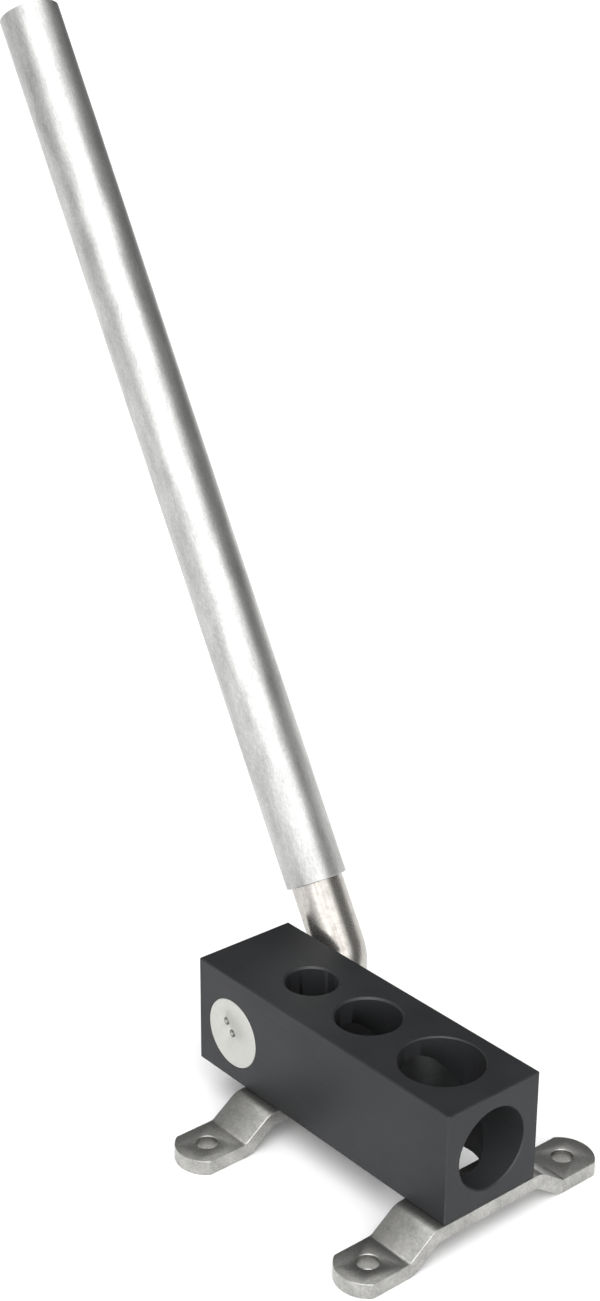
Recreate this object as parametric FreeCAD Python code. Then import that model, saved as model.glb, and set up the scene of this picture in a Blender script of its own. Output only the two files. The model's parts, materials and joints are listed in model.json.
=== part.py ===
import FreeCAD, Part
import math, os

# A hand-lever pipe notcher for the bench. A square steel block has one upright hole for each of
# three pipe sizes. A ram with three round punches slides along the block and bites a saddle out of
# the pipe end. The lever turns a cranked hub, and a roller on its eccentric pin drives the ram.
#
# Frame: millimetres, +Z up, +X towards the open end of the ram bore, +Y towards the lever.
# Origin: on the bench, at the centre of the four bench holes in the feet.

V = FreeCAD.Vector
X, Y, Z = V(1, 0, 0), V(0, 1, 0), V(0, 0, 1)

# ---------------------------------------------------------------- driving dimensions
# Pipes, smallest first: outside diameter and the chamfer on the rim of its upright hole
pipes = [(26.9, 1.0), (33.7, 1.0), (42.4, 0.6)]
pipe_clearance = 0.25       # radial, pipe in its upright hole
webs = [12.7, 13.95]        # solid between neighbouring holes
front_web = 14.55           # solid between the largest hole and the front end

block_side = 60.0           # square bar
block_edge = 0.6            # chamfer along the bar's edges
rear_wall = 5.9             # between the rear end and the blind end of the ram bore
bore_rim = 0.7              # chamfer on the open end of the ram bore

ram_clearance = 0.08        # radial, punches in the ram bore
punch_face_gap = 0.2        # from the hollow punch face to the pipe hole at rest
neck_drop = 1.0             # the flat that the pipe end stands on, below the ram's axis
step_lead = 0.6             # from a pipe hole to the next, larger bore
shoulder_gap = 0.3          # punch shoulder to the bore step, the ram's rear stop
punch_wall = 9.9            # between the roller slot and the small punch face
tail_wall = 7.0             # behind the roller slot
tail_gap = 1.5              # ram's rear end to the blind end of the bore

eccentricity = 7.0
eccentric_lean = 42.0       # degrees back from upright at rest
shaft_drop = 2.5            # crank axis below the ram's axis
pin_radius = 5.5
roller_radius = 7.5
running_clearance = 0.08    # radial, journals, roller
slot_clearance = 0.9        # roller to each side of its slot
chamber_width = 31.0        # between the inner faces of the two journals
chamber_gap = 0.5           # round the roller's sweep

lever_lean = 30.0           # degrees back from upright at rest
lever_swing = 118.0         # degrees forward from rest
ram_per_radian = 5.93       # ram travel per radian of lever that shares the slot's play evenly
rod_diameter = 28.5
bend_radius = 20.5          # centre line
hub_wall = 4.75             # round the rod's socket
hub_proud = 0.5             # hub beyond the block's side
rod_reach = 117.5           # from the crank axis to the rod's upper end
tube_start = 57.5           # from the crank axis to the tube's lower end
tube_length = 500.0
tube_wall = 2.0
tube_clearance = 0.6        # radial, tube on rod
tube_plug_length = 8.0
tube_edge = 0.6             # chamfers on tube, plug, rod, disc and roller
plug_edge = 0.5
rod_edge = 1.5
disc_edge = 0.3
roller_edge = 0.4
weld_leg = 4.0
weld_rise = 3.6             # weld up the hub's face, from the rod
weld_root = 1.0             # weld inside the rod's surface before the rod is cut from it
weld_crown = 0.5

foot_width = 28.0
foot_thickness = 8.0
foot_drop = 11.0            # how far the tabs lie below the middle of the foot
foot_span = 130.0           # hole to hole across the block
foot_end = 16.5             # radius of the tab's round end, centred on its hole
foot_bend = 8.0             # centre line radius of the bends
foot_slope = 35.0           # degrees
foot_flat = 1.5             # straight stretch beyond the block's side
bench_hole_radius = 5.5
rear_foot_setback = 51.0    # rear end of the block to the rear foot's centre

screw_radius = 4.0          # M8
guide_offset = 6.5          # from the middle pipe hole to the ram's guide screw
fit_gap = 0.05              # radial, screws in their threads, rod in its socket, weld on the rod
dowel_gap = 0.02            # radial, dowels and the pressed eccentric pin
end_gap = 0.1               # between the ends of pieces that meet
thread_run_out = 1.0        # thread beyond a screw's end
thread_floor = 2.5          # solid left above a foot screw's thread
foot_screw_inset = 10.0     # from the block's side
foot_screw_depth = 12.0     # in the block, where the wall allows
csk_radius = 8.0            # countersunk head
dog_radius = 2.8
dog_length = 2.0
dog_side_gap = 0.25         # from the dog point to the sides of its groove or keyway
set_screw_recess = 0.5      # set screws below the block's underside
set_screw_hex = 4.0
set_screw_hex_depth = 3.0
cap_screw_hex = 5.0
cap_screw_hex_depth = 2.8
foot_hole_gap = 0.4         # radial, foot screws in the feet
groove_depth = 2.4          # in the hub, for its retaining screw
socket_floor = 4.5          # solid below the rod's socket in the hub
tie_radius = 3.0            # M6 tie bolt through the ram
tie_head_radius = 5.0
tie_head_length = 6.0
tie_thread = 14.0
tie_head_gap = 0.3          # radial, tie bolt head in its counterbore
tie_head_recess = 0.4
dowel_radius = 2.0
dowel_length = 12.0
dowel_places = [(0.56, 6.0), (0.6, 7.5)]    # share of the punch radius to each side, drop below axis
cross_pin_radius = 2.0
cross_pin_inset = 1.5       # below the near journal's surface
cross_pin_past = 3.0        # beyond the eccentric pin's axis
drift_gap = 0.3             # radial, access hole under the cross pin
pin_setback = 3.0           # eccentric pin's end behind the disc's face
pin_end_gap = 0.3
centre_drill_radius = 1.25
centre_drill_rim = 2.2
centre_drill_depth = 2.2
centre_drill_sink = 1.2

cut_past = 1.0              # how far a cutter runs past the face that it opens

# ---------------------------------------------------------------- derived places
stand_height = foot_drop + foot_thickness
block_half = block_side / 2
hole_radii = [od / 2 + pipe_clearance for od, rim in pipes]
punch_radii = [od / 2 for od, rim in pipes]
bore_radii = [r + ram_clearance for r in punch_radii]

back_throw = eccentricity * math.sin(math.radians(eccentric_lean))
slot_half = roller_radius + slot_clearance
shaft_setback = rear_wall + tail_gap + tail_wall + slot_half + back_throw
first_hole = shaft_setback - back_throw + slot_half + punch_wall + punch_face_gap + hole_radii[0]
second_hole = first_hole + hole_radii[0] + webs[0] + hole_radii[1]
third_hole = second_hole + hole_radii[1] + webs[1] + hole_radii[2]
block_length = third_hole + hole_radii[2] + front_web
front_foot_setback = block_length - foot_width / 2

rear_x = -(rear_foot_setback + front_foot_setback) / 2
front_x = rear_x + block_length
shaft_x = rear_x + shaft_setback
hole_x = [rear_x + d for d in (first_hole, second_hole, third_hole)]
step_x = [hole_x[0] + hole_radii[0] + step_lead, hole_x[1] + hole_radii[1] + step_lead]
shoulder_x = [x + shoulder_gap for x in step_x]
foot_x = [rear_x + rear_foot_setback, rear_x + front_foot_setback]

under_z = stand_height
top_z = stand_height + block_side
ram_z = stand_height + block_half
shaft_z = ram_z - shaft_drop
neck_z = ram_z - neck_drop

rod_radius = rod_diameter / 2
journal_radius = rod_radius + hub_wall
journal_length = (block_side - chamber_width) / 2
chamber_radius = eccentricity + roller_radius + chamber_gap
lever_y = block_half + hub_proud + bend_radius
tube_inner = rod_radius + tube_clearance
tube_outer = tube_inner + tube_wall
shaft_axis = V(shaft_x, 0, shaft_z)


# ---------------------------------------------------------------- small helpers
def rod(radius, start, direction, length):
    """A cylinder that starts at a point and runs along a direction."""
    return Part.makeCylinder(radius, length, start, direction)


def cone(radius, end_radius, start, direction, length):
    return Part.makeCone(radius, end_radius, length, start, direction)


def block(low, high):
    """A box between two opposite corners."""
    size = high - low
    return Part.makeBox(size.x, size.y, size.z, low)


def rim(radius, chamfer, mouth, inward):
    """The cutter that chamfers a hole's rim, from just outside its mouth."""
    start = mouth - inward * chamfer
    return cone(radius + 2 * chamfer, radius, start, inward, 2 * chamfer)


def hexagon(across_flats, start, direction, depth):
    """A hexagon socket cutter along Z or X."""
    corner = across_flats / math.sqrt(3)
    side = X if direction.x == 0 else Y
    other = direction.cross(side)
    turns = [math.radians(60 * i) for i in range(7)]
    points = [start + side * (corner * math.cos(a)) + other * (corner * math.sin(a)) for a in turns]
    return Part.Face(Part.makePolygon(points)).extrude(direction * depth)


def round_edges(shape):
    return [edge for edge in shape.Edges if edge.Curve.TypeId == "Part::GeomCircle"]


def lean(shape, degrees):
    """Turn a shape that was made upright back about the crank axis."""
    turned = shape.copy()
    turned.rotate(shaft_axis, Y, -degrees)
    return turned


def save(name, shape):
    shape.exportStep("parts/" + name + ".step")
    print(name, len(shape.Solids), "solids", round(shape.Volume), "mm3", shape.isValid())


# ---------------------------------------------------------------- block and what screws into it
dog_screw_y = block_half - journal_length / 2
guide_x = hole_x[1] + guide_offset
groove_half = dog_radius + dog_side_gap
foot_screw_y = block_half - foot_screw_inset
thread_radius = screw_radius + fit_gap
bore_edge = math.sqrt(max(0.0, bore_radii[2] ** 2 - (foot_screw_y - thread_radius) ** 2))
foot_thread_depth = min(foot_screw_depth + thread_run_out, block_half - bore_edge - thread_floor)
journal_bottom = shaft_z - journal_radius


def ram_bore():
    """The stepped bore, from its blind end to the front of the block."""
    ends = [rear_x + rear_wall, step_x[0], step_x[1], front_x + cut_past]
    cuts = [rod(bore_radii[i], V(ends[i], 0, ram_z), X, ends[i + 1] - ends[i]) for i in range(3)]
    cuts.append(rim(bore_radii[2], bore_rim, V(front_x, 0, ram_z), X * -1))
    return cuts


def pipe_holes():
    """The upright holes. The largest goes right through and lets the slugs fall out.

    Each hole's seam is turned to the side, so that the ram bore doesn't cut it.
    """
    cuts = []
    for i, (od, chamfer) in enumerate(pipes):
        floor = ram_z if i < 2 else under_z - cut_past
        hole = rod(hole_radii[i], V(hole_x[i], 0, floor), Z, top_z + cut_past - floor)
        hole.rotate(V(hole_x[i], 0, 0), Z, 90)
        cuts.append(hole)
        cuts.append(rim(hole_radii[i], chamfer, V(hole_x[i], 0, top_z), Z * -1))
    return cuts


def crank_bore():
    """Two journal bores with a smaller chamber between them for the eccentric."""
    radius = journal_radius + running_clearance
    depth = cut_past + journal_length + end_gap
    near = rod(radius, V(shaft_x, -block_half - cut_past, shaft_z), Y, depth)
    far = rod(radius, V(shaft_x, block_half + cut_past, shaft_z), Y * -1, depth)
    chamber = rod(chamber_radius, V(shaft_x, -chamber_width / 2, shaft_z), Y, chamber_width)
    return [near, far, chamber]


def die_block():
    low = V(rear_x, -block_half, under_z)
    bar = block(low, low + V(block_length, block_side, block_side))
    bar = bar.makeChamfer(block_edge, bar.Edges)
    cuts = ram_bore() + pipe_holes() + crank_bore()
    below = under_z - cut_past
    for x in foot_x:
        for y in (-foot_screw_y, foot_screw_y):
            cuts.append(rod(thread_radius, V(x, y, below), Z, foot_thread_depth + cut_past))
    cuts.append(rod(thread_radius, V(shaft_x, dog_screw_y, below), Z, journal_bottom + cut_past - below))
    cuts.append(rod(thread_radius, V(guide_x, 0, below), Z, ram_z - bore_radii[1] + cut_past - below))
    drift_x = shaft_x - back_throw
    cuts.append(rod(cross_pin_radius + drift_gap, V(drift_x, -dog_screw_y, below), Z, block_half))
    return bar.cut(Part.makeCompound(cuts))


def dog_screw(x, y, shoulder_z):
    """A socket set screw with a dog point, screwed up into the block's underside."""
    start = V(x, y, under_z + set_screw_recess)
    screw = rod(screw_radius, start, Z, shoulder_z - start.z)
    dog = rod(dog_radius, V(x, y, shoulder_z), Z, dog_length)
    socket = hexagon(set_screw_hex, start - Z * cut_past, Z, set_screw_hex_depth + cut_past)
    return screw.fuse(dog).cut(socket).removeSplitter()


# ---------------------------------------------------------------- feet
def strip_edges(offset):
    """One long side of half a foot, at a distance above its centre line, from the middle outwards."""
    middle_z = under_z - foot_thickness / 2
    slope = math.radians(foot_slope)
    fall = foot_drop - 2 * foot_bend * (1 - math.cos(slope))
    ramp = fall / math.sin(slope)
    bend_y = block_half + foot_flat
    tab_y = bend_y + 2 * foot_bend * math.sin(slope) + ramp * math.cos(slope)
    upper = V(0, bend_y, middle_z - foot_bend)
    lower = V(0, tab_y, middle_z - foot_drop + foot_bend)

    def on_upper(angle):
        reach = foot_bend + offset
        return upper + V(0, reach * math.sin(angle), reach * math.cos(angle))

    def on_lower(angle):
        reach = foot_bend - offset
        return lower - V(0, reach * math.sin(angle), reach * math.cos(angle))

    start = V(0, 0, middle_z + offset)
    end = V(0, foot_span / 2 + foot_end, middle_z - foot_drop + offset)
    return [
        Part.makeLine(start, on_upper(0)),
        Part.Arc(on_upper(0), on_upper(slope / 2), on_upper(slope)).toShape(),
        Part.makeLine(on_upper(slope), on_lower(slope)),
        Part.Arc(on_lower(slope), on_lower(slope / 2), on_lower(0)).toShape(),
        Part.makeLine(on_lower(0), end),
    ]


def foot(x):
    """A flat bar across the block, stepped down at both ends into tabs with a bench hole each."""
    half = foot_thickness / 2
    over, below = strip_edges(half), strip_edges(-half)
    tip = Part.makeLine(over[-1].Vertexes[-1].Point, below[-1].Vertexes[-1].Point)
    root = Part.makeLine(below[0].Vertexes[0].Point, over[0].Vertexes[0].Point)
    wire = Part.Wire(Part.__sortEdges__(over + [tip] + below + [root]))
    right = Part.Face(wire).extrude(X * foot_width)
    right.translate(V(x - foot_width / 2, 0, 0))
    side = foot_width / 2
    inboard = block(V(x - side, 0, -cut_past), V(x + side, foot_span / 2, top_z))
    tip = rod(foot_end, V(x, foot_span / 2, -cut_past), Z, foot_thickness + 2 * cut_past)
    right = right.common(inboard.fuse(tip))
    bar = right.fuse(right.mirror(V(0, 0, 0), Y)).removeSplitter()
    cuts = []
    head = csk_radius - screw_radius
    bottom = under_z - foot_thickness
    for side in (-1, 1):
        through = foot_thickness + 2 * cut_past
        cuts.append(rod(bench_hole_radius, V(x, side * foot_span / 2, -cut_past), Z, through))
        at = V(x, side * foot_screw_y, bottom)
        cuts.append(rod(screw_radius + foot_hole_gap, at - Z * cut_past, Z, through))
        cuts.append(cone(csk_radius + foot_hole_gap, screw_radius + foot_hole_gap, at, Z, head))
    return bar.cut(Part.makeCompound(cuts))


def foot_screws(x):
    """Countersunk socket screws, their heads level with the foot's underside."""
    head = csk_radius - screw_radius
    length = foot_thickness + foot_thread_depth - thread_run_out
    screws = []
    for side in (-1, 1):
        at = V(x, side * foot_screw_y, under_z - foot_thickness)
        screw = cone(csk_radius, screw_radius, at, Z, head).fuse(rod(screw_radius, at, Z, length))
        socket = hexagon(cap_screw_hex, at - Z * cut_past, Z, cap_screw_hex_depth + cut_past)
        screws.append(screw.cut(socket).removeSplitter())
    return Part.makeCompound(screws)


# ---------------------------------------------------------------- crank and lever
far_inner_y = block_half - journal_length
socket_depth = journal_length + hub_proud - socket_floor


def eccentric_pin(radius, start_y, length):
    """A cylinder on the eccentric's axis, with the crank upright."""
    return rod(radius, V(shaft_x, start_y, shaft_z + eccentricity), Y, length)


def crank_hub():
    """The far journal: socket for the rod outside, eccentric pin inside, groove for the dog screw."""
    start = V(shaft_x, far_inner_y, shaft_z)
    hub = rod(journal_radius, start, Y, journal_length + hub_proud)
    pin_start = pin_setback - block_half
    hub = hub.fuse(eccentric_pin(pin_radius, pin_start, far_inner_y - pin_start + cut_past))
    mouth = V(shaft_x, block_half + hub_proud + cut_past, shaft_z)
    socket = rod(rod_radius + fit_gap, mouth, Y * -1, socket_depth + cut_past)
    groove_at = V(shaft_x, dog_screw_y - groove_half, shaft_z)
    groove = rod(journal_radius + cut_past, groove_at, Y, 2 * groove_half)
    groove = groove.cut(rod(journal_radius - groove_depth, groove_at - Y * cut_past, Y, block_half))
    dowel = cross_pin(cross_pin_radius + dowel_gap)
    return lean(hub.cut(socket).cut(groove).removeSplitter(), eccentric_lean).cut(dowel)


def near_journal():
    """The disc that shows in the block's side, with both turning centres in its face."""
    face_y = -block_half
    disc = rod(journal_radius, V(shaft_x, face_y, shaft_z), Y, journal_length)
    disc = disc.makeChamfer(disc_edge, [e for e in disc.Edges if e.BoundBox.YMax < face_y + 0.01])
    pin_floor = face_y + pin_setback - pin_end_gap
    disc = disc.cut(eccentric_pin(pin_radius + dowel_gap, pin_floor, journal_length))
    for lift in (0, eccentricity):
        at = V(shaft_x, face_y, shaft_z + lift)
        disc = disc.cut(rod(centre_drill_radius, at, Y, centre_drill_depth))
        disc = disc.cut(cone(centre_drill_rim, centre_drill_radius, at, Y, centre_drill_sink))
    return lean(disc, eccentric_lean).cut(cross_pin(cross_pin_radius + dowel_gap))


def cross_pin(radius):
    """The dowel that ties the near journal to the eccentric pin, driven up from below."""
    pin_x = shaft_x - back_throw
    pin_z = shaft_z + eccentricity * math.cos(math.radians(eccentric_lean))
    bottom = shaft_z - math.sqrt(journal_radius ** 2 - back_throw ** 2) + cross_pin_inset
    return rod(radius, V(pin_x, -dog_screw_y, bottom), Z, pin_z + cross_pin_past - bottom)


def drive_roller():
    length = 2 * punch_radii[0]
    roller = eccentric_pin(roller_radius, -length / 2, length)
    roller = roller.makeChamfer(roller_edge, round_edges(roller))
    bore = eccentric_pin(pin_radius + running_clearance, -length, 2 * length)
    return lean(roller.cut(bore), eccentric_lean)


def upright_rod(extra=0.0):
    """Round bar: out of the hub, round one bend, and up inside the tube."""
    radius = rod_radius + extra
    bend_y = lever_y - bend_radius
    leg_start = block_half + hub_proud - socket_depth + end_gap
    leg = rod(radius, V(shaft_x, leg_start, shaft_z), Y, bend_y - leg_start)
    section = Part.Face(Part.Wire(Part.makeCircle(radius, V(shaft_x, bend_y, shaft_z), Y)))
    bend = section.revolve(V(shaft_x, bend_y, shaft_z + bend_radius), X, 90)
    shank = rod(radius, V(shaft_x, lever_y, shaft_z + bend_radius), Z, rod_reach - bend_radius)
    end = [e for e in shank.Edges if abs(e.BoundBox.ZMin - shaft_z - rod_reach) < 0.01]
    return leg.fuse([bend, shank.makeChamfer(rod_edge, end)]).removeSplitter()


def weld_bead():
    """The fillet weld that joins the rod to the hub."""
    y = block_half + hub_proud
    corner = V(shaft_x, y, shaft_z + rod_radius - weld_root)
    crest = corner + Z * (weld_root + weld_rise)
    foot_point = corner + Y * weld_leg
    middle = (crest + foot_point) * 0.5 + (Y + Z) * weld_crown
    edges = [Part.makeLine(corner, crest), Part.Arc(crest, middle, foot_point).toShape(),
             Part.makeLine(foot_point, corner)]
    ring = Part.Face(Part.Wire(edges)).revolve(V(shaft_x, y, shaft_z), Y, 360)
    return ring.cut(upright_rod(fit_gap))


def handle_tube():
    start = V(shaft_x, lever_y, shaft_z + tube_start)
    tube = rod(tube_outer, start, Z, tube_length)
    tube = tube.makeChamfer(tube_edge, round_edges(tube))
    return tube.cut(rod(tube_inner, start - Z * cut_past, Z, tube_length + 2 * cut_past))


def tube_plug():
    """The disc inside the tube that comes to rest on the rod's upper end."""
    start = V(shaft_x, lever_y, shaft_z + rod_reach)
    plug = rod(tube_inner, start, Z, tube_plug_length)
    return plug.makeChamfer(plug_edge, round_edges(plug))


# ---------------------------------------------------------------- ram
tie_z = ram_z - punch_radii[0] / 2 - neck_drop / 2
slot_x = shaft_x - back_throw
pin_low = shaft_z + eccentricity * math.cos(math.radians(lever_swing - eccentric_lean))
slot_floor = pin_low - roller_radius - chamber_gap
ram_stroke = ram_per_radian * math.radians(lever_swing)
tie_seat_x = hole_x[2] - hole_radii[2] - punch_face_gap - tie_head_recess - tie_head_length
ram_end = slot_x - slot_half - tail_wall


def punch(i, start, end):
    """A round length of the ram with the pipe's space cut out of it.

    Above the flat the cut leaves a hollow face that fits the pipe, and below it the neck carries on.
    """
    bar = rod(punch_radii[i], V(start, 0, ram_z), X, end - start)
    floor = neck_z if i < 2 else under_z
    space = rod(hole_radii[i] + punch_face_gap, V(hole_x[i], 0, floor), Z, block_side)
    ahead = block(V(hole_x[i], -block_half, floor), V(front_x, block_half, top_z))
    return bar.cut(space.fuse(ahead))


def tie_hole(piece):
    start = V(shoulder_x[0] - tie_thread - thread_run_out, 0, tie_z)
    return piece.cut(rod(tie_radius + fit_gap, start, X, block_length))


def dowels(i, radius):
    """A pair of dowels across the joint behind a punch."""
    share, drop = dowel_places[i]
    side = share * punch_radii[i]
    starts = [V(shoulder_x[i] - dowel_length / 2, y, ram_z - drop) for y in (-side, side)]
    return Part.makeCompound([rod(radius, start, X, dowel_length) for start in starts])


def small_punch():
    body = punch(0, ram_end, shoulder_x[0])
    slot = block(V(slot_x - slot_half, -block_half, slot_floor), V(slot_x + slot_half, block_half, top_z))
    return tie_hole(body.cut(slot)).cut(dowels(0, dowel_radius + dowel_gap))


def medium_punch():
    body = punch(1, shoulder_x[0], shoulder_x[1])
    low = ram_z - punch_radii[1]
    keyway = block(V(guide_x - ram_stroke - groove_half - shoulder_gap, -groove_half, low - cut_past),
                   V(guide_x + groove_half + shoulder_gap, groove_half, low + dog_length + thread_run_out))
    body = tie_hole(body.cut(keyway))
    return body.cut(dowels(0, dowel_radius + dowel_gap)).cut(dowels(1, dowel_radius + dowel_gap))


def large_punch():
    body = punch(2, shoulder_x[1], hole_x[2])
    head_space = rod(tie_head_radius + tie_head_gap, V(tie_seat_x, 0, tie_z), X, block_length)
    return tie_hole(body).cut(head_space).cut(dowels(1, dowel_radius + dowel_gap))


def tie_bolt():
    """The socket cap screw that draws the three punches together."""
    start = shoulder_x[0] - tie_thread
    shank = rod(tie_radius, V(start, 0, tie_z), X, tie_seat_x - start)
    head = rod(tie_head_radius, V(tie_seat_x, 0, tie_z), X, tie_head_length)
    socket_at = V(tie_seat_x + tie_head_length - cap_screw_hex_depth, 0, tie_z)
    socket = hexagon(cap_screw_hex, socket_at, X, cap_screw_hex_depth + cut_past)
    return shank.fuse(head).cut(socket).removeSplitter()


# ---------------------------------------------------------------- build
os.makedirs("parts", exist_ok=True)
save("die_block", die_block())
save("rear_foot", foot(foot_x[0]))
save("front_foot", foot(foot_x[1]))
save("rear_foot_screws", foot_screws(foot_x[0]))
save("front_foot_screws", foot_screws(foot_x[1]))
save("hub_retaining_screw", dog_screw(shaft_x, dog_screw_y, journal_bottom - end_gap))
save("ram_guide_screw", dog_screw(guide_x, 0, ram_z - bore_radii[1]))
save("crank_hub", crank_hub())
save("near_journal", near_journal())
save("journal_cross_pin", cross_pin(cross_pin_radius))
save("drive_roller", drive_roller())
save("lever_rod", lean(upright_rod(), lever_lean))
save("weld_bead", lean(weld_bead(), lever_lean))
save("handle_tube", lean(handle_tube(), lever_lean))
save("tube_stop_plug", lean(tube_plug(), lever_lean))
save("small_punch", small_punch())
save("medium_punch", medium_punch())
save("large_punch", large_punch())
save("ram_tie_bolt", tie_bolt())
save("rear_joint_dowels", dowels(0, dowel_radius))
save("front_joint_dowels", dowels(1, dowel_radius))
print("block", round(block_length, 2), "shaft", round(shaft_x, 3), round(shaft_z, 3))
print("holes", [round(x, 3) for x in hole_x], "feet", foot_x, "stroke", round(ram_stroke, 3))
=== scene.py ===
# %% [markdown]
# # A hand-lever pipe notcher
#
# This lesson dresses a bench tool that bites a saddle out of a pipe end. A black square block holds
# three upright pipe holes, a bright crank comes out of its far side, and a long galvanised tube is
# pushed over the crank as a handle. Two stepped feet of flat bar carry the block.
#
# The engineering model gives every piece its place. We load it first and never move it. What we add
# here is what the eye needs: soft edges, a weld bead, a bent bar and the finish of each metal.

# %% Load the frame
import json
import math

import bmesh
import bpy
from mathutils import Matrix, Vector


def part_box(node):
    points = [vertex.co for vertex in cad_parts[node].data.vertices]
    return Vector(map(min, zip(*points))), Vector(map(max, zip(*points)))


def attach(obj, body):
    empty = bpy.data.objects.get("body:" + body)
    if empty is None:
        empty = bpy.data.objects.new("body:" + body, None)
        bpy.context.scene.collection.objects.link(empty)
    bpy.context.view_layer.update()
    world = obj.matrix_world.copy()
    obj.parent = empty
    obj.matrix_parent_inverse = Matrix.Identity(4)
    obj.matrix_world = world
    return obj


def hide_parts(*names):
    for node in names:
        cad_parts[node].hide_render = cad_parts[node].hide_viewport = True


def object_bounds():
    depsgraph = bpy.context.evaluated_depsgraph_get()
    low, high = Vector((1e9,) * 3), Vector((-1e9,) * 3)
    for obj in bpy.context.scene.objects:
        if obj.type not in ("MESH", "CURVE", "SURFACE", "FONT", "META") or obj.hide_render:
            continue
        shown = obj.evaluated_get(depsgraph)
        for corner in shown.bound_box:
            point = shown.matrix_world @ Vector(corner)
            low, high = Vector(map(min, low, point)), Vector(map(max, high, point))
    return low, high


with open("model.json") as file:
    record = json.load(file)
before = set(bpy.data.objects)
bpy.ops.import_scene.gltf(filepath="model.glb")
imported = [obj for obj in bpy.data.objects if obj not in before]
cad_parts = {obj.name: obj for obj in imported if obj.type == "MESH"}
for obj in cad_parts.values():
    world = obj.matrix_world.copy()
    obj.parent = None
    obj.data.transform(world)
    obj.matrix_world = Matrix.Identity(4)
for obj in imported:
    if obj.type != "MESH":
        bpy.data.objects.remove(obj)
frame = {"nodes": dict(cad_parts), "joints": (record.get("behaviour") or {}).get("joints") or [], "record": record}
cad_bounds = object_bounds()
print("frame:", len(frame["nodes"]), "nodes, from", cad_bounds[0], "to", cad_bounds[1])

# %% [markdown]
# ## Sizes
#
# Blender works in metres and the drawings are in millimetres, so one short function converts.
# The crank's axis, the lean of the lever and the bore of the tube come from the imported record, and
# the rest from the boxes of the pieces. Nothing is measured twice.

# %% Sizes that several pieces share
def mm(value):
    return value / 1000.0


record = frame["record"]
joints = {joint["name"]: joint for joint in frame["joints"]}
mounts = {mount["name"]: mount for mount in record["mounts"]}

crank_axis = Vector(joints["lever_swing"]["pos_m"])
lever_direction = Vector(joints["handle_pull"]["axis"])
lever_lean = math.atan2(-lever_direction.x, lever_direction.z)

tube_low, tube_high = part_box("handle_tube")
tube_radius = (tube_high.y - tube_low.y) / 2
plug_low, plug_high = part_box("tube_stop_plug")
tube_bore = (plug_high.y - plug_low.y) / 2
lever_y = (tube_high.y + tube_low.y) / 2
print("lever leans back", round(math.degrees(lever_lean), 1), "degrees in the plane y =", round(lever_y, 4))


def along_lever(height, radius, side):
    """How far up the lever a square-ended round piece begins or ends, from its box in Z."""
    tilt = radius * math.sin(lever_lean) * side
    return (height - tilt - crank_axis.z) / math.cos(lever_lean)


# %% [markdown]
# ## Helpers for modelling
#
# Every new piece is a bmesh that we shape with operators. A round piece is easiest to build upright,
# with the crank's axis as its origin, and then to lean back. The last helper cleans the
# mesh, sets which edges look sharp and hands the piece to the body that carries it.

# %% Helpers for modelling
merge_distance = 1e-6


def leaned():
    """The matrix that takes a piece built upright over the crank's axis to its real place."""
    return Matrix.Translation(crank_axis) @ Matrix.Rotation(-lever_lean, 4, "Y")


def bevel_edges(bm, edges, width, segments=3):
    bmesh.ops.bevel(bm, geom=edges, offset=width, segments=segments, profile=0.5,
                    affect="EDGES", clamp_overlap=True, material=-1)


def circles_at(bm, height):
    """The edges that lie in a level plane."""
    return [e for e in bm.edges if all(abs(v.co.z - height) < 1e-7 for v in e.verts)]


def finish_piece(name, bm, materials, body, node, sharp=35.0):
    """Turns a bmesh into a piece that stands for a node of the frame."""
    bmesh.ops.remove_doubles(bm, verts=bm.verts, dist=merge_distance)
    bmesh.ops.recalc_face_normals(bm, faces=bm.faces)
    mesh = bpy.data.meshes.new(name)
    bm.to_mesh(mesh)
    bm.free()
    mesh.shade_smooth()
    mesh.set_sharp_from_angle(angle=math.radians(sharp))
    piece = bpy.data.objects.new(name, mesh)
    bpy.context.scene.collection.objects.link(piece)
    for material in materials:
        mesh.materials.append(material)
    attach(piece, body)
    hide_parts(node)
    print(name, len(mesh.polygons), "faces")
    return piece


# %% [markdown]
# ## Helpers for materials
#
# Colours are written as the hex values that a designer would pick, so one function turns them to
# the linear light that the shader wants. One more function adds a node, with its settings and links.
# A pattern's scale is the inverse of a real size, so `per_mm(0.8)` draws grains of 0.8 mm.

# %% Helpers for materials
def colour(hex_text):
    """An sRGB hex value as a linear colour with alpha."""
    channels = [int(hex_text[i:i + 2], 16) / 255 for i in (1, 3, 5)]
    linear = [c / 12.92 if c <= 0.04045 else ((c + 0.055) / 1.055) ** 2.4 for c in channels]
    return (*linear, 1.0)


def per_mm(size):
    return 1000.0 / size


def add_node(tree, kind, inputs=None, **settings):
    """Adds one node. An input is a value, or another node's output to link to."""
    node = tree.nodes.new(kind)
    for name, value in settings.items():
        setattr(node, name, value)
    for name, value in (inputs or {}).items():
        if isinstance(value, bpy.types.NodeSocket):
            tree.links.new(value, node.inputs[name])
        else:
            node.inputs[name].default_value = value
    return node


def new_material(name):
    """An empty material, with its Object coordinates and its shader ready to be linked."""
    material = bpy.data.materials.new(name)
    material.use_nodes = True
    tree = material.node_tree
    tree.nodes.clear()
    shader = add_node(tree, "ShaderNodeBsdfPrincipled")
    add_node(tree, "ShaderNodeOutputMaterial", {"Surface": shader.outputs["BSDF"]})
    place = add_node(tree, "ShaderNodeTexCoord").outputs["Object"]
    return material, tree, shader, place


# %% [markdown]
# ## Blackened steel
#
# The block is a length of square bar that was ground, then blackened in a hot oxide bath and oiled.
# The oxide is thin, so the grinding lines still show as a faint streak along the bar, and the oil
# leaves soft clouds. It is darker than paint and it shines more at a low angle. A ground line is far too
# fine to see, so it is drawn about 1 mm wide.

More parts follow.
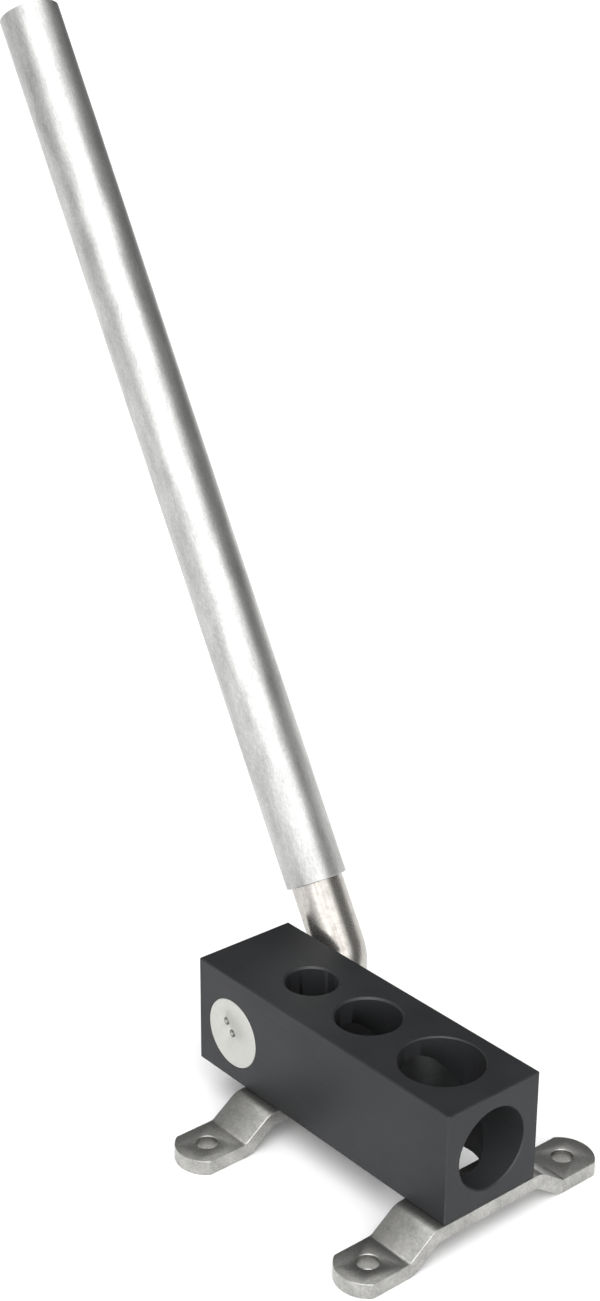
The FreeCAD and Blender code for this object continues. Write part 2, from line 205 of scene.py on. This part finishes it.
# %% Blackened steel
def blackened_steel(name, dark, light, roughness):
    material, tree, shader, place = new_material(name)
    stretched = add_node(tree, "ShaderNodeMapping", {"Vector": place, "Scale": (0.03, 1.0, 1.0)})
    grain = add_node(tree, "ShaderNodeTexNoise",
                     {"Vector": stretched.outputs[0], "Scale": per_mm(1.0), "Detail": 6.0, "Roughness": 0.6})
    clouds = add_node(tree, "ShaderNodeTexNoise",
                      {"Vector": place, "Scale": per_mm(38.0), "Detail": 4.0, "Roughness": 0.55})
    speck = add_node(tree, "ShaderNodeTexNoise",
                     {"Vector": place, "Scale": per_mm(0.9), "Detail": 3.0, "Roughness": 0.7})
    blend = add_node(tree, "ShaderNodeMath", {0: grain.outputs[0], 1: clouds.outputs[0]}, operation="ADD")
    tone = add_node(tree, "ShaderNodeMapRange",
                    {"Value": blend.outputs[0], "From Min": 0.7, "From Max": 1.3})
    base = add_node(tree, "ShaderNodeMix",
                    {"Factor": tone.outputs[0], "A": colour(dark), "B": colour(light)}, data_type="RGBA")
    tree.links.new(base.outputs["Result"], shader.inputs["Base Color"])
    gloss = add_node(tree, "ShaderNodeMapRange",
                     {"Value": clouds.outputs[0], "From Min": 0.35, "From Max": 0.65,
                      "To Min": roughness - 0.05, "To Max": roughness + 0.07})
    tree.links.new(gloss.outputs[0], shader.inputs["Roughness"])
    relief = add_node(tree, "ShaderNodeMath", {0: grain.outputs[0], 1: speck.outputs[0]}, operation="ADD")
    bump = add_node(tree, "ShaderNodeBump",
                    {"Height": relief.outputs[0], "Strength": 0.18, "Distance": mm(0.08)})
    tree.links.new(bump.outputs[0], shader.inputs["Normal"])
    shader.inputs["Metallic"].default_value = 0.55
    return material


black_oxide = blackened_steel("blackened_steel", "#252628", "#2d2e30", 0.45)
# painted light: the bore walls are a touch lighter than the block's outside, to lift the shade deep in the holes;
# they are also rougher
lightened_bore_oxide = blackened_steel("blackened_bore_walls_painted_lighter", "#292a2c", "#2f3032", 0.75)
# painted highlight and rubbed oxide: the chamfers get a lighter grey than the faces
rubbed_oxide_and_edge_highlight = blackened_steel("rubbed_and_highlit_edge_of_blackened_steel", "#2c2d2e", "#393a3b", 0.42)
screw_black = blackened_steel("black_oxide_screws", "#1d1e20", "#2e2f31", 0.36)
punch_black = blackened_steel("oil_blackened_tool_steel", "#2c2d2e", "#3b3c3d", 0.38)

# %% [markdown]
# ## Galvanised tube
#
# The handle is a length of galvanised steel tube. Drawing it to size left fine lines along it, and the
# zinc froze in small soft grains over them. That gives a bright, slightly broken sheen: a wide white
# band where the tube faces the lamp, and grey flanks. The grain follows the tube, so a Mapping node turns
# the pattern to the lever before it is stretched.

# %% Metals with a grain that follows the lever
def drawn_metal(name, dark, light, roughness, grain_width, grain_length, speckle, depth):
    material, tree, shader, place = new_material(name)
    turned = add_node(tree, "ShaderNodeMapping", {"Vector": place, "Rotation": (0.0, lever_lean, 0.0)})
    stretched = add_node(tree, "ShaderNodeMapping",
                         {"Vector": turned.outputs[0], "Scale": (1.0, 1.0, grain_width / grain_length)})
    lines = add_node(tree, "ShaderNodeTexNoise",
                     {"Vector": stretched.outputs[0], "Scale": per_mm(grain_width), "Detail": 5.0,
                      "Roughness": 0.65})
    grains = add_node(tree, "ShaderNodeTexNoise",
                      {"Vector": turned.outputs[0], "Scale": per_mm(speckle), "Detail": 4.0,
                       "Roughness": 0.7})
    patches = add_node(tree, "ShaderNodeTexNoise",
                       {"Vector": stretched.outputs[0], "Scale": per_mm(grain_width * 9), "Detail": 3.0})
    blend = add_node(tree, "ShaderNodeMath", {0: lines.outputs[0], 1: grains.outputs[0]}, operation="ADD")
    more = add_node(tree, "ShaderNodeMath", {0: blend.outputs[0], 1: patches.outputs[0]}, operation="ADD")
    tone = add_node(tree, "ShaderNodeMapRange",
                    {"Value": more.outputs[0], "From Min": 1.15, "From Max": 1.85})
    base = add_node(tree, "ShaderNodeMix",
                    {"Factor": tone.outputs[0], "A": colour(dark), "B": colour(light)}, data_type="RGBA")
    tree.links.new(base.outputs["Result"], shader.inputs["Base Color"])
    gloss = add_node(tree, "ShaderNodeMapRange",
                     {"Value": blend.outputs[0], "From Min": 0.7, "From Max": 1.3,
                      "To Min": roughness + 0.06, "To Max": roughness - 0.06})
    tree.links.new(gloss.outputs[0], shader.inputs["Roughness"])
    bump = add_node(tree, "ShaderNodeBump",
                    {"Height": blend.outputs[0], "Strength": 0.35, "Distance": mm(depth)})
    tree.links.new(bump.outputs[0], shader.inputs["Normal"])
    shader.inputs["Metallic"].default_value = 0.92
    return material


galvanised = drawn_metal("galvanised_steel_tube", "#9b9b9a", "#c8c8c6", 0.36, 0.8, 3.0, 0.6, 0.06)
drawn_bar = drawn_metal("bright_drawn_bar", "#97938e", "#c0bdb8", 0.25, 1.2, 60.0, 3.0, 0.008)

# %% [markdown]
# ## Zinc-plated flat bar
#
# The feet were cut from hot-rolled flat bar, bent, and plated with bright zinc. Under the zinc the rolled
# skin is a little uneven, so the faces carry soft clouds of about 9 mm and a fine grain of 1 mm. The
# upright faces are bright, and the level ones mirror the dim side of the room.

# %% Zinc-plated flat bar
def zinc_plate(name):
    material, tree, shader, place = new_material(name)
    mottle = add_node(tree, "ShaderNodeTexNoise",
                      {"Vector": place, "Scale": per_mm(9.0), "Detail": 8.0, "Roughness": 0.62})
    skin = add_node(tree, "ShaderNodeTexNoise",
                    {"Vector": place, "Scale": per_mm(1.3), "Detail": 5.0, "Roughness": 0.7})
    blend = add_node(tree, "ShaderNodeMath", {0: mottle.outputs[0], 1: skin.outputs[0]}, operation="ADD")
    tone = add_node(tree, "ShaderNodeMapRange",
                    {"Value": blend.outputs[0], "From Min": 0.65, "From Max": 1.35})
    base = add_node(tree, "ShaderNodeMix",
                    {"Factor": tone.outputs[0], "A": colour("#888886"), "B": colour("#c2c1bd")},
                    data_type="RGBA")
    tree.links.new(base.outputs["Result"], shader.inputs["Base Color"])
    gloss = add_node(tree, "ShaderNodeMapRange",
                     {"Value": blend.outputs[0], "From Min": 0.7, "From Max": 1.3,
                      "To Min": 0.40, "To Max": 0.28})
    tree.links.new(gloss.outputs[0], shader.inputs["Roughness"])
    bump = add_node(tree, "ShaderNodeBump",
                    {"Height": skin.outputs[0], "Strength": 0.6, "Distance": mm(0.14)})
    tree.links.new(bump.outputs[0], shader.inputs["Normal"])
    shader.inputs["Metallic"].default_value = 1.0
    return material


zinc = zinc_plate("zinc_plated_flat_bar")

# %% [markdown]
# ## Turned, ground and cast metals
#
# The end of the crank shows as a pale disc in the block's side. A lathe tool cut it, and left rings
# around the turning centre. A ring's real pitch is about 0.15 mm, too fine to show, so it is drawn at 0.7 mm.
# The punches are ground tool steel, and the roller is bearing bronze, turned in the same way.

# %% Turned metals
def turned_metal(name, dark, light, roughness, pitch, centre, axis):
    material, tree, shader, place = new_material(name)
    centred = add_node(tree, "ShaderNodeVectorMath", {0: place, 1: tuple(centre)}, operation="SUBTRACT")
    ring_scale = math.pi / 10 / mm(pitch)
    rings = add_node(tree, "ShaderNodeTexWave",
                     {"Vector": centred.outputs[0], "Scale": ring_scale, "Distortion": 0.8, "Detail": 2.0},
                     wave_type="RINGS", rings_direction=axis)
    haze = add_node(tree, "ShaderNodeTexNoise",
                    {"Vector": place, "Scale": per_mm(5.0), "Detail": 5.0, "Roughness": 0.6})
    blend = add_node(tree, "ShaderNodeMath", {0: rings.outputs["Fac"], 1: haze.outputs[0]}, operation="ADD")
    tone = add_node(tree, "ShaderNodeMapRange",
                    {"Value": blend.outputs[0], "From Min": 0.3, "From Max": 1.6})
    base = add_node(tree, "ShaderNodeMix",
                    {"Factor": tone.outputs[0], "A": colour(dark), "B": colour(light)}, data_type="RGBA")
    tree.links.new(base.outputs["Result"], shader.inputs["Base Color"])
    gloss = add_node(tree, "ShaderNodeMapRange",
                     {"Value": haze.outputs[0], "From Min": 0.3, "From Max": 0.7,
                      "To Min": roughness - 0.06, "To Max": roughness + 0.06})
    tree.links.new(gloss.outputs[0], shader.inputs["Roughness"])
    bump = add_node(tree, "ShaderNodeBump",
                    {"Height": rings.outputs["Fac"], "Strength": 0.25, "Distance": mm(0.03)})
    tree.links.new(bump.outputs[0], shader.inputs["Normal"])
    shader.inputs["Metallic"].default_value = 0.85
    return material


roller_axis = Vector(joints["roller_spin"]["pos_m"])
turned_steel = turned_metal("fine_turned_steel", "#acaca8", "#cacac5", 0.42, 0.7, crank_axis, "Y")
ground_steel = turned_metal("ground_tool_steel", "#77787a", "#a6a6a8", 0.33, 0.9, crank_axis, "X")
bronze = turned_metal("turned_bearing_bronze", "#8a6231", "#c08e4a", 0.30, 0.7, roller_axis, "Y")

# %% [markdown]
# ## The block
#
# The block's shape is right already, with chamfers on its edges and on the rims of its holes. The chamfers
# are painted a lighter grey: partly the oxide rubbed thin by handling, partly a painted highlight along the
# edges. The bore walls are rougher, and a touch lighter than the outside: painted light that lifts the shade
# deep in the holes. We copy the mesh, merge the loose triangles and sort the faces: one near the outside
# that faces no axis is a chamfer, and one far from the outside is the wall of a bore.

# %% The block
nearly_square = 0.97


def square_to_an_axis(normal):
    return max(abs(c) for c in normal) > nearly_square


def near_outside(point, low, high, depth):
    return any(point[i] - low[i] < depth or high[i] - point[i] < depth for i in range(3))


chamfer_reach = mm(0.9)


def make_block():
    low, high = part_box("die_block")
    bm = bmesh.new()
    bm.from_mesh(frame["nodes"]["die_block"].data)
    bmesh.ops.remove_doubles(bm, verts=bm.verts, dist=merge_distance)
    for face in bm.faces:
        outside = near_outside(face.calc_center_median(), low, high, chamfer_reach)
        chamfer = outside and not square_to_an_axis(face.normal)
        # index 1 is the chamfers' painted highlight with rubbed oxide, index 2 the bores' lighter painted tone
        face.material_index = 1 if chamfer else 0 if outside else 2
    block = finish_piece("block_of_blackened_bar", bm, [black_oxide, rubbed_oxide_and_edge_highlight, lightened_bore_oxide], "frame",
                         "die_block", sharp=25.0)
    for polygon in block.data.polygons:
        polygon.use_smooth = not square_to_an_axis(polygon.normal)


make_block()

# %% [markdown]
# ## The crank's end
#
# Two small centre marks were drilled in the crank's end, to hold it in the lathe. Their sloping walls are
# painted a darker grey: painted shade in the small hollows.

# %% The crank's end
mark_depth = mm(4.0)
disc_rim = mm(1.5)
# painted shade: the centre marks' sloping walls get a darker grey than the turned face
shaded_mark_steel = turned_metal("centre_marks_painted_shade", "#6b6b68", "#8f8f8b", 0.35, 0.7, crank_axis, "Y")


def make_crank_end():
    low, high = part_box("near_journal")
    reach = (high.x - low.x) / 2 - disc_rim
    bm = bmesh.new()
    bm.from_mesh(frame["nodes"]["near_journal"].data)
    bmesh.ops.remove_doubles(bm, verts=bm.verts, dist=merge_distance)
    for face in bm.faces:
        spot = face.calc_center_median()
        inside = math.hypot(spot.x - crank_axis.x, spot.z - crank_axis.z) < reach
        in_a_mark = inside and spot.y < low.y + mark_depth and not square_to_an_axis(face.normal)
        # faces inside a mark take the painted shade
        face.material_index = int(in_a_mark)
    return finish_piece("turned_crank_end", bm, [turned_steel, shaded_mark_steel], "crank",
                        "near_journal", sharp=25.0)


make_crank_end()

# %% [markdown]
# ## The handle tube
#
# A tube could be a cylinder with a solidify modifier. Spinning its wall section is just as short, and
# gives us both rims as clean circles to bevel. A welded tube also has a low bead along its bore where its
# edges were joined. The bead is the column of inner vertices on one side, moved a little towards the
# middle, and it shows in the open end.

# %% The handle tube
rim_rounding = mm(0.8)
seam_height = mm(0.5)
seam_half_angle = math.radians(4.0)


def make_tube():
    start = along_lever(tube_low.z, tube_radius, -1)
    end = along_lever(tube_high.z, tube_radius, 1)
    bm = bmesh.new()
    corners = [(tube_bore, start), (tube_radius, start), (tube_radius, end), (tube_bore, end)]
    section = [bm.verts.new((x, 0.0, z)) for x, z in corners]
    wall = [bm.edges.new((section[i], section[(i + 1) % 4])) for i in range(4)]
    bmesh.ops.spin(bm, geom=section + wall, axis=(0, 0, 1), cent=(0, 0, 0), angle=2 * math.pi,
                   steps=120, use_merge=True)
    bmesh.ops.remove_doubles(bm, verts=bm.verts, dist=merge_distance)
    bmesh.ops.recalc_face_normals(bm, faces=bm.faces)
    bevel_edges(bm, circles_at(bm, start) + circles_at(bm, end), rim_rounding, segments=4)
    for vertex in bm.verts:
        angle = math.atan2(vertex.co.y, vertex.co.x)
        inside = vertex.co.xy.length < tube_bore + mm(0.01)
        if inside and abs(angle) < seam_half_angle:
            vertex.co.xy *= 1 - seam_height / tube_bore
    bmesh.ops.transform(bm, matrix=Matrix.Translation((0, lever_y, 0)), verts=bm.verts)
    bmesh.ops.transform(bm, matrix=leaned(), verts=bm.verts)
    print("tube from", round(start, 4), "to", round(end, 4), "m along the lever")
    return finish_piece("galvanised_handle", bm, [galvanised], "handle", "handle_tube")


make_tube()

# %% [markdown]
# ## The bent rod
#
# The rod leaves the hub level, turns upward round one bend and runs up inside the tube. We start from a
# circle in the hub's face, extrude it a little way in, and spin it through a quarter turn about the
# centre of the bend. A last extrusion takes it up to the stop plug, where its end has a chamfer.

# %% The bent rod
hub_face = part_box("crank_hub")[1].y
rod_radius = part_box("lever_rod")[1].y - lever_y
bend_radius = lever_y - hub_face
rod_end = along_lever(plug_low.z, tube_bore, -1) - mm(0.6)
rod_in_hub = mm(3.0)
rod_chamfer = mm(1.5)


def extrude_circle(bm, edges, step):
    """Extrudes a ring of edges along a step and returns the new ring."""
    made = bmesh.ops.extrude_edge_only(bm, edges=edges)["geom"]
    bmesh.ops.translate(bm, verts=[v for v in made if isinstance(v, bmesh.types.BMVert)], vec=step)
    return [e for e in made if isinstance(e, bmesh.types.BMEdge)]


def make_rod():
    bm = bmesh.new()
    facing_y = Matrix.Translation((0, hub_face - rod_in_hub, 0)) @ Matrix.Rotation(math.radians(-90), 4, "X")
    bmesh.ops.create_circle(bm, cap_ends=True, radius=rod_radius, segments=96, matrix=facing_y)
    face = bm.faces[:][0]
    ring = extrude_circle(bm, face.edges[:], (0, rod_in_hub, 0))
    bent = bmesh.ops.spin(bm, geom=ring + list({v for e in ring for v in e.verts}), axis=(1, 0, 0),
                          cent=(0, hub_face, bend_radius), angle=math.radians(90), steps=28)["geom_last"]
    ring = [g for g in bent if isinstance(g, bmesh.types.BMEdge)]
    ring = extrude_circle(bm, ring, (0, 0, rod_end - bend_radius))
    cap = bmesh.ops.contextual_create(bm, geom=ring)["faces"]
    bmesh.ops.recalc_face_normals(bm, faces=bm.faces)
    bevel_edges(bm, list({e for f in cap for e in f.edges}), rod_chamfer, segments=1)
    bmesh.ops.transform(bm, matrix=leaned(), verts=bm.verts)
    return finish_piece("bent_rod", bm, [drawn_bar], "crank", "lever_rod")


make_rod()

# %% [markdown]
# ## The weld
#
# A fillet weld ties the rod to its hub. A welder lays it as a row of overlapping pools, which freeze
# as ripples. We spin a small rounded section round the rod in many steps, and lift each step by how
# far it lies from its pool's edge.

# %% The weld
weld_low, weld_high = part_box("weld_bead")
weld_reach = weld_high.y - hub_face
weld_radius = (weld_high.x - weld_low.x) / 2
pools = 36
root_depth = mm(0.4)
sunk = mm(0.2)
crown_share = 0.62
pool_narrowing = 0.05
pool_drop = mm(0.35)
weld_steel = drawn_metal("rippled_weld", "#5f5a55", "#a09a92", 0.38, 1.2, 2.0, 0.8, 0.12)


def make_weld():
    bm = bmesh.new()
    corner = bm.verts.new((rod_radius - root_depth, hub_face - sunk, 0))
    toe = bm.verts.new((weld_radius, hub_face - sunk, 0))
    crown = bm.verts.new((rod_radius + (weld_radius - rod_radius) * crown_share,
                          hub_face + weld_reach * crown_share, 0))
    top = bm.verts.new((rod_radius - root_depth, hub_face + weld_reach, 0))
    section = [corner, toe, crown, top]
    edges = [bm.edges.new((section[i], section[(i + 1) % 4])) for i in range(4)]
    bmesh.ops.spin(bm, geom=section + edges, axis=(0, 1, 0), cent=(0, 0, 0), angle=2 * math.pi,
                   steps=288, use_merge=True)
    bmesh.ops.remove_doubles(bm, verts=bm.verts, dist=merge_distance)
    for vertex in bm.verts:
        reach = math.hypot(vertex.co.x, vertex.co.z)
        if reach > rod_radius + sunk and vertex.co.y > hub_face - sunk / 2:
            turn = math.atan2(vertex.co.z, vertex.co.x) / (2 * math.pi) * pools
            lift = 1 - pool_narrowing * (turn % 1.0) ** 2
            vertex.co.x *= lift
            vertex.co.z *= lift
            vertex.co.y -= pool_drop * (turn % 1.0) ** 2
    bmesh.ops.transform(bm, matrix=leaned(), verts=bm.verts)
    return finish_piece("weld_ripples", bm, [weld_steel], "crank", "weld_bead", sharp=50.0)


make_weld()

# %% [markdown]
# ## The feet
#
# Each foot is one length of flat bar. It lies flat under the block and steps down on both sides to a
# round-ended tab with a bolt hole. We could extrude the stepped profile sideways, but a maker works the
# other way round, and so do we: the blank is cut out flat, drilled, and only then bent. Drilled first, every
# hole is a plain round one, and the roundness that zinc gives to the edges follows the bends.

# %% The bend of the feet
foot_low, foot_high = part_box("front_foot")
block_low, block_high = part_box("die_block")
foot_thickness = block_low.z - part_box("front_foot_screws")[0].z
foot_drop = block_low.z - foot_thickness
middle_z = block_low.z - foot_thickness / 2
bend_radius_of_foot = mm(8.0)
bend_angle = math.radians(35.0)
bend_steps = 8
first_bend = block_high.y + mm(1.5)
hole_y = mm(mounts["bench_holes"]["dims"]["spacing_y_mm"]) / 2

ramp_length = (foot_drop - 2 * bend_radius_of_foot * (1 - math.cos(bend_angle))) / math.sin(bend_angle)
bend_length = bend_radius_of_foot * bend_angle
stations = [first_bend, first_bend + bend_length]
stations += [stations[1] + ramp_length, stations[1] + ramp_length + bend_length]
tab_y = first_bend + 2 * bend_radius_of_foot * math.sin(bend_angle) + ramp_length * math.cos(bend_angle)
flat_hole = stations[3] + hole_y - tab_y


def bent(reach, lift):
    """Where the bend takes a point of the flat blank, from its reach and its lift off the centre line."""
    y = min(reach, stations[0])
    drop = 0.0
    slope = 0.0
    if reach > stations[0]:
        slope = min(reach - stations[0], bend_length) / bend_radius_of_foot
        y += bend_radius_of_foot * math.sin(slope)
        drop += bend_radius_of_foot * (1 - math.cos(slope))
    if reach > stations[1]:
        along = min(reach - stations[1], ramp_length)
        y += along * math.cos(bend_angle)
        drop += along * math.sin(bend_angle)
    if reach > stations[2]:
        slope = bend_angle - min(reach - stations[2], bend_length) / bend_radius_of_foot
        y += bend_radius_of_foot * (math.sin(bend_angle) - math.sin(slope))
        drop += bend_radius_of_foot * (math.cos(slope) - math.cos(bend_angle))
    y += max(0.0, reach - stations[3])
    return y + lift * math.sin(slope), middle_z - drop + lift * math.cos(slope)


print("the blank's hole is", round(flat_hole * 1000, 1), "mm out, and the bent one", round(hole_y * 1000, 1))

# %% The blank of a foot
tip_radius = foot_high.y - hole_y - mm(0.01)
half_width = (foot_high.x - foot_low.x) / 2


def foot_outline(bm):
    """The flat blank's outline: two round ends that share centres with the holes, and straight sides."""
    corner_angle = math.acos(half_width / tip_radius)
    corner = Vector((half_width, flat_hole + tip_radius * math.sin(corner_angle), 0))
    start = bm.verts.new(corner)
    bmesh.ops.spin(bm, geom=[start], axis=(0, 0, 1), cent=(0, flat_hole, 0),
                   angle=math.pi - 2 * corner_angle, steps=28)
    bmesh.ops.mirror(bm, geom=bm.verts[:] + bm.edges[:], axis="Y", merge_dist=0.0)
    for side in (-1, 1):
        ends = [v for v in bm.verts if abs(v.co.x - side * half_width) < 1e-7]
        bm.edges.new(ends)
    return bmesh.ops.contextual_create(bm, geom=bm.edges[:])["faces"][0]


def cut_with(bm, cutters):
    """Cuts away what the cutters cover, and returns the result as a new bmesh."""
    items = []
    for label, source in (("blank", bm), ("drills", cutters)):
        mesh = bpy.data.meshes.new(label)
        source.to_mesh(mesh)
        source.free()
        items.append(bpy.data.objects.new(label, mesh))
        bpy.context.scene.collection.objects.link(items[-1])
    cut = items[0].modifiers.new("holes", "BOOLEAN")
    cut.object = items[1]
    cut.solver = "EXACT"
    graph = bpy.context.evaluated_depsgraph_get()
    result = bmesh.new()
    result.from_mesh(items[0].evaluated_get(graph).to_mesh())
    for item in items:
        bpy.data.objects.remove(item)
    return result


def foot_drills(head_radius, screw_y):
    """The bench holes, and the countersunk seats of the screws on the underside."""
    drills = bmesh.new()
    bench_radius = mm(mounts["bench_holes"]["dims"]["hole_r_mm"])
    seat_depth = head_radius / 2 + mm(0.4)
    for side in (-1, 1):
        bmesh.ops.create_cone(drills, cap_ends=True, segments=72, radius1=bench_radius, radius2=bench_radius,
                              depth=3 * foot_thickness, matrix=Matrix.Translation((0, side * flat_hole, 0)))
        seat = Matrix.Translation((0, side * screw_y, (seat_depth - foot_thickness) / 2 - mm(0.1)))
        bmesh.ops.create_cone(drills, cap_ends=True, segments=72, radius1=head_radius + mm(0.5),
                              radius2=head_radius / 2 + mm(0.5), depth=seat_depth, matrix=seat)
    return drills


# %% The feet
plated_rounding = mm(0.45)


def make_foot(node, name):
    low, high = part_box(node)
    screw_low, screw_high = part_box(node + "_screws")
    head_radius = (screw_high.x - screw_low.x) / 2
    bm = bmesh.new()
    blank = foot_outline(bm)
    top = bmesh.ops.extrude_face_region(bm, geom=[blank])["geom"]
    bmesh.ops.translate(bm, verts=[g for g in top if isinstance(g, bmesh.types.BMVert)],
                        vec=(0, 0, foot_thickness))
    bmesh.ops.translate(bm, verts=bm.verts, vec=(0, 0, -foot_thickness / 2))
    bmesh.ops.recalc_face_normals(bm, faces=bm.faces)
    bm = cut_with(bm, foot_drills(head_radius, screw_high.y - head_radius))
    bmesh.ops.remove_doubles(bm, verts=bm.verts, dist=merge_distance)
    edges = [e for e in bm.edges if e.is_manifold and e.calc_face_angle() > math.radians(30)]
    bevel_edges(bm, edges, plated_rounding)
    steps = [bend_length * k / bend_steps for k in range(bend_steps + 1)]
    for reach in [stations[0] + step for step in steps] + [stations[2] + step for step in steps]:
        for side in (-1, 1):
            bmesh.ops.bisect_plane(bm, geom=bm.verts[:] + bm.edges[:] + bm.faces[:], dist=1e-7,
                                   plane_co=(0, side * reach, 0), plane_no=(0, 1, 0))
    for vertex in bm.verts:
        side = math.copysign(1.0, vertex.co.y)
        y, z = bent(abs(vertex.co.y), vertex.co.z)
        vertex.co = ((low.x + high.x) / 2 + vertex.co.x, side * y, z)
    return finish_piece(name, bm, [zinc], "frame", node, sharp=30.0)


make_foot("rear_foot", "rear_foot_of_flat_bar")
make_foot("front_foot", "front_foot_of_flat_bar")

# %% [markdown]
# ## The pieces that keep their shape
#
# Screws, dowels, punches, the roller, the hub and the disc are exact as the frame gives them. They only
# need their finish.

# %% The pieces that keep their shape
finishes = {
    "crank_hub": turned_steel,
    "tube_stop_plug": drawn_bar,
    "drive_roller": bronze,
    "small_punch": punch_black,
    "medium_punch": punch_black,
    "large_punch": punch_black,
    "journal_cross_pin": ground_steel,
    "rear_joint_dowels": ground_steel,
    "front_joint_dowels": ground_steel,
    "ram_tie_bolt": screw_black,
    "hub_retaining_screw": screw_black,
    "ram_guide_screw": screw_black,
    "rear_foot_screws": screw_black,
    "front_foot_screws": screw_black,
}
for node_name, finish in finishes.items():
    for material_slot in frame["nodes"][node_name].material_slots:
        material_slot.link = "OBJECT"
        material_slot.material = finish
print("finished", len(finishes), "pieces of the frame")

# %% [markdown]
# ## Floor and light
#
# A tool on a white page wants a plain white floor that still takes the tool's soft shadow. The floor is
# an almost white matt paint. The sky is a very large, soft light: bright from the camera's side and from
# straight above. It reaches every spot of the floor alike, so the page stays even to the horizon. Each bright
# patch is a lobe that fades out softly. Between them the sky is dim, and that matters for the metals: the dim
# part is what the level faces mirror, and it makes them darker than the upright ones. Straight views see a
# plain white backdrop, and reflections of the horizon see a grey one.

# %% The sky
scene = bpy.context.scene


def add_lobe(tree, direction, towards, edge, core, strength):
    """A soft patch of bright sky. It fades between two angles off its middle, given as cosines."""
    facing = add_node(tree, "ShaderNodeVectorMath", {0: direction, 1: tuple(Vector(towards).normalized())},
                      operation="DOT_PRODUCT")
    return add_node(tree, "ShaderNodeMapRange",
                    {"Value": facing.outputs["Value"], "From Min": edge, "From Max": core,
                     "To Min": 0.0, "To Max": strength}, interpolation_type="SMOOTHSTEP").outputs[0]


def make_sky(dim, lobes):
    world = bpy.data.worlds.new("studio")
    world.use_nodes = True
    tree = world.node_tree
    tree.nodes.clear()
    direction = add_node(tree, "ShaderNodeTexCoord").outputs["Generated"]
    level = add_node(tree, "ShaderNodeValue")
    level.outputs[0].default_value = dim
    for lobe in lobes:
        level = add_node(tree, "ShaderNodeMath", {0: level.outputs[0], 1: add_lobe(tree, direction, *lobe)},
                         operation="ADD")
    height = add_node(tree, "ShaderNodeSeparateXYZ", {0: direction}).outputs["Z"]
    backdrop = add_node(tree, "ShaderNodeMapRange",
                        {"Value": height, "From Min": 0.02, "From Max": 0.20, "To Min": 0.5, "To Max": 0.0},
                        interpolation_type="SMOOTHSTEP")
    ray = add_node(tree, "ShaderNodeLightPath").outputs
    seen = add_node(tree, "ShaderNodeMath", {0: ray["Is Glossy Ray"], 1: ray["Is Transmission Ray"]},
                    operation="MAXIMUM")
    mirrored = add_node(tree, "ShaderNodeMath", {0: seen.outputs[0], 1: backdrop.outputs[0]},
                        operation="MULTIPLY")
    white = add_node(tree, "ShaderNodeMath", {0: ray["Is Camera Ray"], 1: mirrored.outputs[0]},
                     operation="MAXIMUM")
    strength = add_node(tree, "ShaderNodeMix",
                        {"Factor": white.outputs[0], "A": level.outputs[0], "B": 1.0}, data_type="FLOAT")
    sky = add_node(tree, "ShaderNodeBackground",
                   {"Color": colour("#ffffff"), "Strength": strength.outputs["Result"]})
    add_node(tree, "ShaderNodeOutputWorld", {"Surface": sky.outputs[0]})
    scene.world = world


# %% Floor and lamps
floor_reach = 40.0


def make_floor():
    bm = bmesh.new()
    bmesh.ops.create_grid(bm, x_segments=1, y_segments=1, size=floor_reach)
    bmesh.ops.translate(bm, verts=bm.verts, vec=(0, 0, cad_bounds[0].z - mm(0.2)))
    mesh = bpy.data.meshes.new("floor")
    bm.to_mesh(mesh)
    bm.free()
    floor = bpy.data.objects.new("floor", mesh)
    scene.collection.objects.link(floor)
    material, _, shader, _ = new_material("white_matt_paint")
    shader.inputs["Base Color"].default_value = colour("#fbfbfb")
    shader.inputs["Roughness"].default_value = 1.0
    shader.inputs["Specular IOR Level"].default_value = 0.0
    mesh.materials.append(material)


def make_lamp(name, aim, direction, distance, size, power):
    """A square soft box that faces the tool."""
    lamp = bpy.data.lights.new(name, "AREA")
    lamp.shape = "SQUARE"
    lamp.size = size
    lamp.energy = power
    item = bpy.data.objects.new(name, lamp)
    away = Vector(direction).normalized()
    item.location = aim + away * distance
    item.rotation_mode = "QUATERNION"
    item.rotation_quaternion = away.to_track_quat("Z", "Y")
    scene.collection.objects.link(item)


centre = (cad_bounds[0] + cad_bounds[1]) / 2
make_floor()
from_the_camera = ((0.71, -0.58, 0.37), 0.48, 0.95, 2.7)
from_above = ((0.0, 0.0, 1.0), 0.62, 0.97, 1.75)
from_the_left = ((-0.6, -0.8, 0.0), 0.50, 0.95, 0.6)
make_sky(0.12, [from_the_camera, from_above, from_the_left])
make_lamp("soft_box", centre, (0.50, -0.55, 0.68), 1.9, 0.9, 3.0)
scene.view_settings.view_transform = "Standard"

# %% [markdown]
# ## The camera
#
# The camera stands in front of the open end, about 50 degrees round from the long side and 22 degrees up,
# a little over a metre away. It looks at a point well above the block, because the lever rises high behind.

# %% The camera
camera_azimuth = math.radians(49.89)
camera_elevation = math.radians(21.66)
camera_roll = math.radians(0.39)
camera_distance = mm(1049.2)
camera_lens = 57.86
camera_aim = Vector((mm(-97.5), mm(24.8), mm(241.4)))


def make_camera():
    camera = bpy.data.cameras.new("camera")
    camera.sensor_width = 36.0
    camera.lens = camera_lens
    camera.clip_start = 0.01
    camera.clip_end = 50.0
    item = bpy.data.objects.new("camera", camera)
    back = Vector((math.sin(camera_azimuth) * math.cos(camera_elevation),
                   -math.cos(camera_azimuth) * math.cos(camera_elevation),
                   math.sin(camera_elevation)))
    item.location = camera_aim + back * camera_distance
    item.rotation_mode = "QUATERNION"
    level = back.to_track_quat("Z", "Y")
    item.rotation_quaternion = level @ Matrix.Rotation(camera_roll, 4, "Z").to_quaternion()
    scene.collection.objects.link(item)
    scene.camera = item


make_camera()
